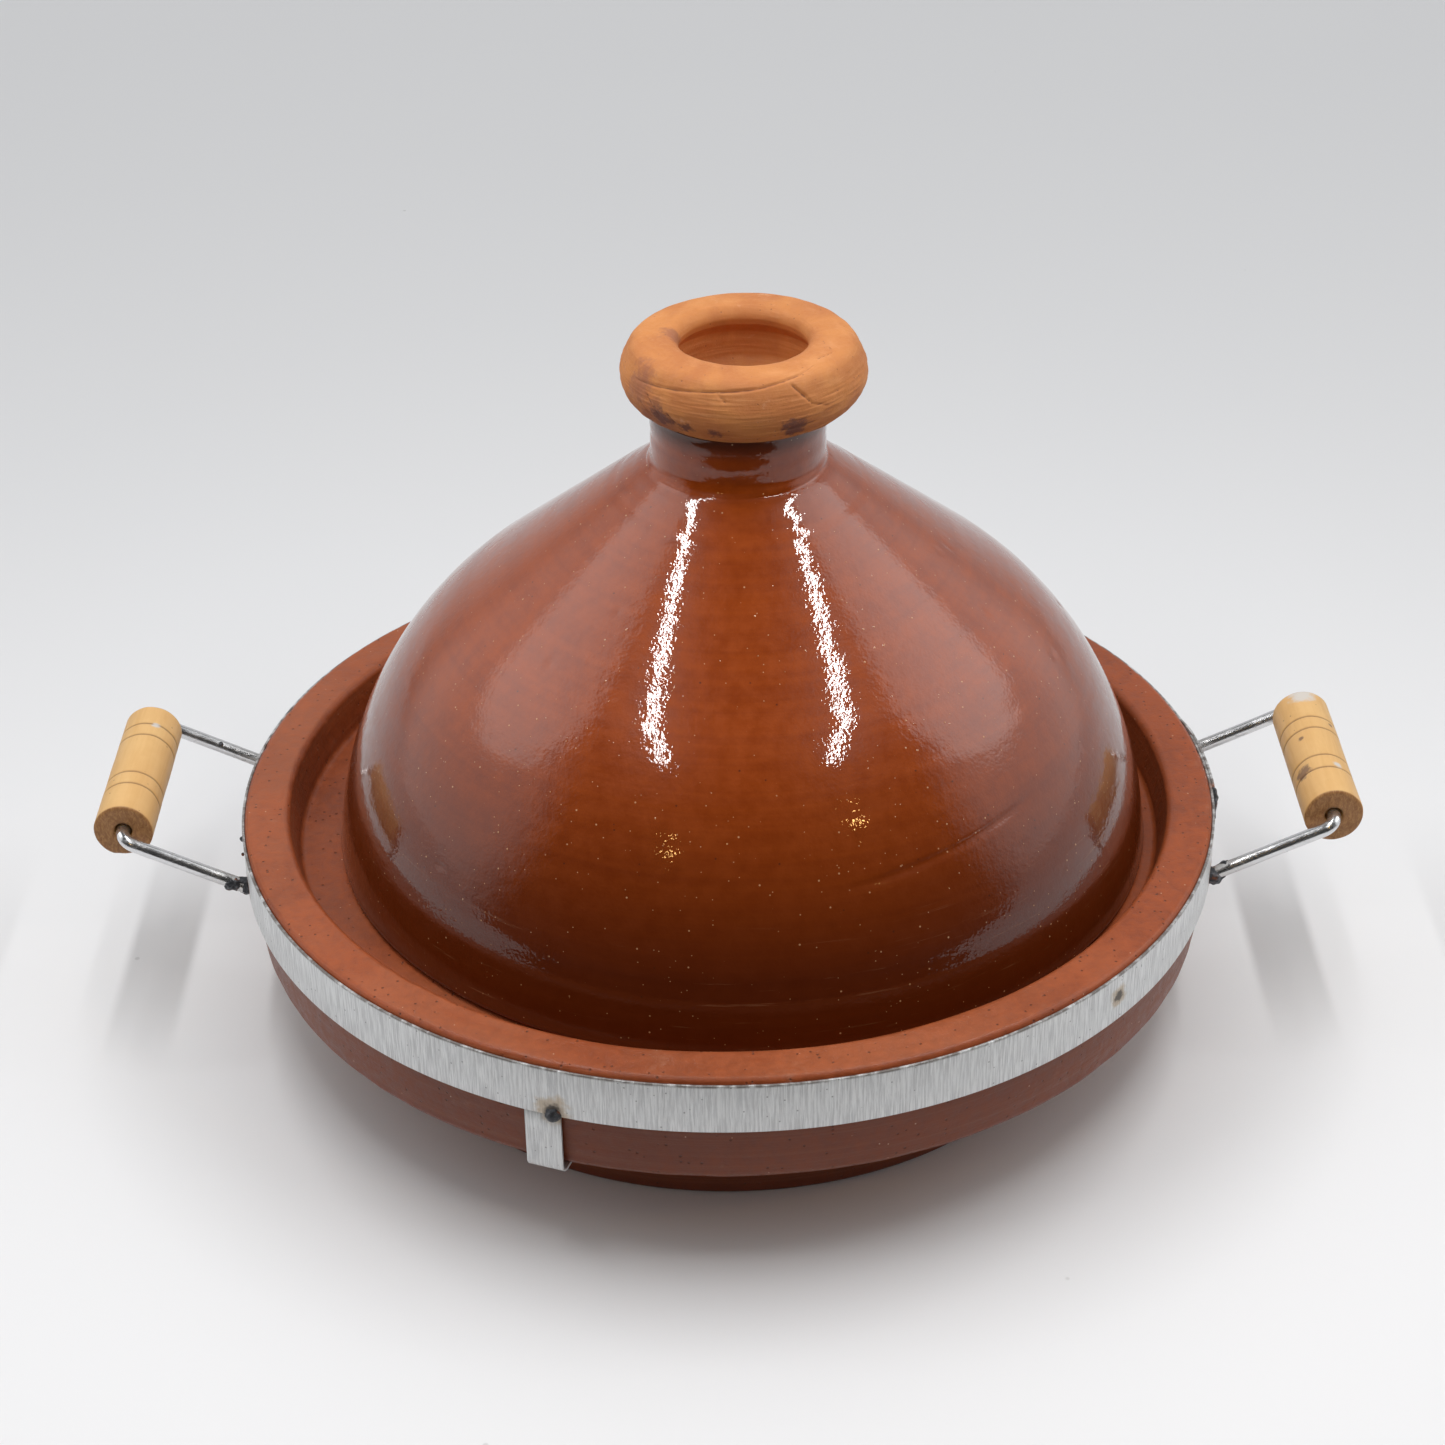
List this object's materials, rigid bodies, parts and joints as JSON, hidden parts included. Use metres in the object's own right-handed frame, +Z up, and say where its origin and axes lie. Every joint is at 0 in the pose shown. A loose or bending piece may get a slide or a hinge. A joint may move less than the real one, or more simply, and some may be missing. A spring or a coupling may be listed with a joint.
{
  "type": "tagine pot",
  "caption": "Clay tagine: round dish with a ledge, glazed domed lid with a hollowed knob, and a steel rim carrier with wooden-gripped wire handles.",
  "frame": {"origin": "on the ground under the middle of the dish's foot", "axes": "+Z up; the two handles lie along +X and -X; the front of the pot, with the front tab, is towards -Y"},
  "size_m": [0.4604, 0.36, 0.2669],
  "materials": {
    "clay_dish": "matt fired terracotta with a sheen on the outer edge of the rim",
    "glazed_clay": "clear glossy glaze over red-brown clay",
    "bare_clay": "matt bare orange clay with smoke stains",
    "zinc_strip": "galvanised strip, dull and finely streaked",
    "bright_wire": "bright plated wire with scuffs",
    "weld_metal": "dark lumpy weld with heat tint and rust",
    "pale_wood": "plain turned pale wood"
  },
  "bodies": {
    "pot": {"dish": "clay_dish", "rim_band": "zinc_strip", "band_lap_weld": "weld_metal", "tab_front": "zinc_strip", "tab_right": "zinc_strip", "tab_back": "zinc_strip", "tab_weld_front": "weld_metal", "tab_weld_right": "weld_metal", "tab_weld_back": "weld_metal", "wire_left": "bright_wire", "wire_right": "bright_wire", "weld_left_front": "weld_metal", "weld_left_back": "weld_metal", "weld_right_front": "weld_metal", "weld_right_back": "weld_metal"},
    "lid": {"lid_dome": "glazed_clay", "knob": "bare_clay"},
    "left_grip": {"grip_left": "pale_wood"},
    "right_grip": {"grip_right": "pale_wood"}
  },
  "joints": [
    {"name": "lid_lift", "type": "slide", "parent": "pot", "child": "lid", "axis": [0, 0, 1], "range_m": [0, 0.3]},
    {"name": "left_grip_spin", "type": "hinge", "parent": "pot", "child": "left_grip", "pos_m": [-0.2194, 0, 0.0892], "axis": [0, 1, 0], "continuous": true},
    {"name": "right_grip_spin", "type": "hinge", "parent": "pot", "child": "right_grip", "pos_m": [0.2194, 0, 0.0892], "axis": [0, 1, 0], "continuous": true}
  ]
}
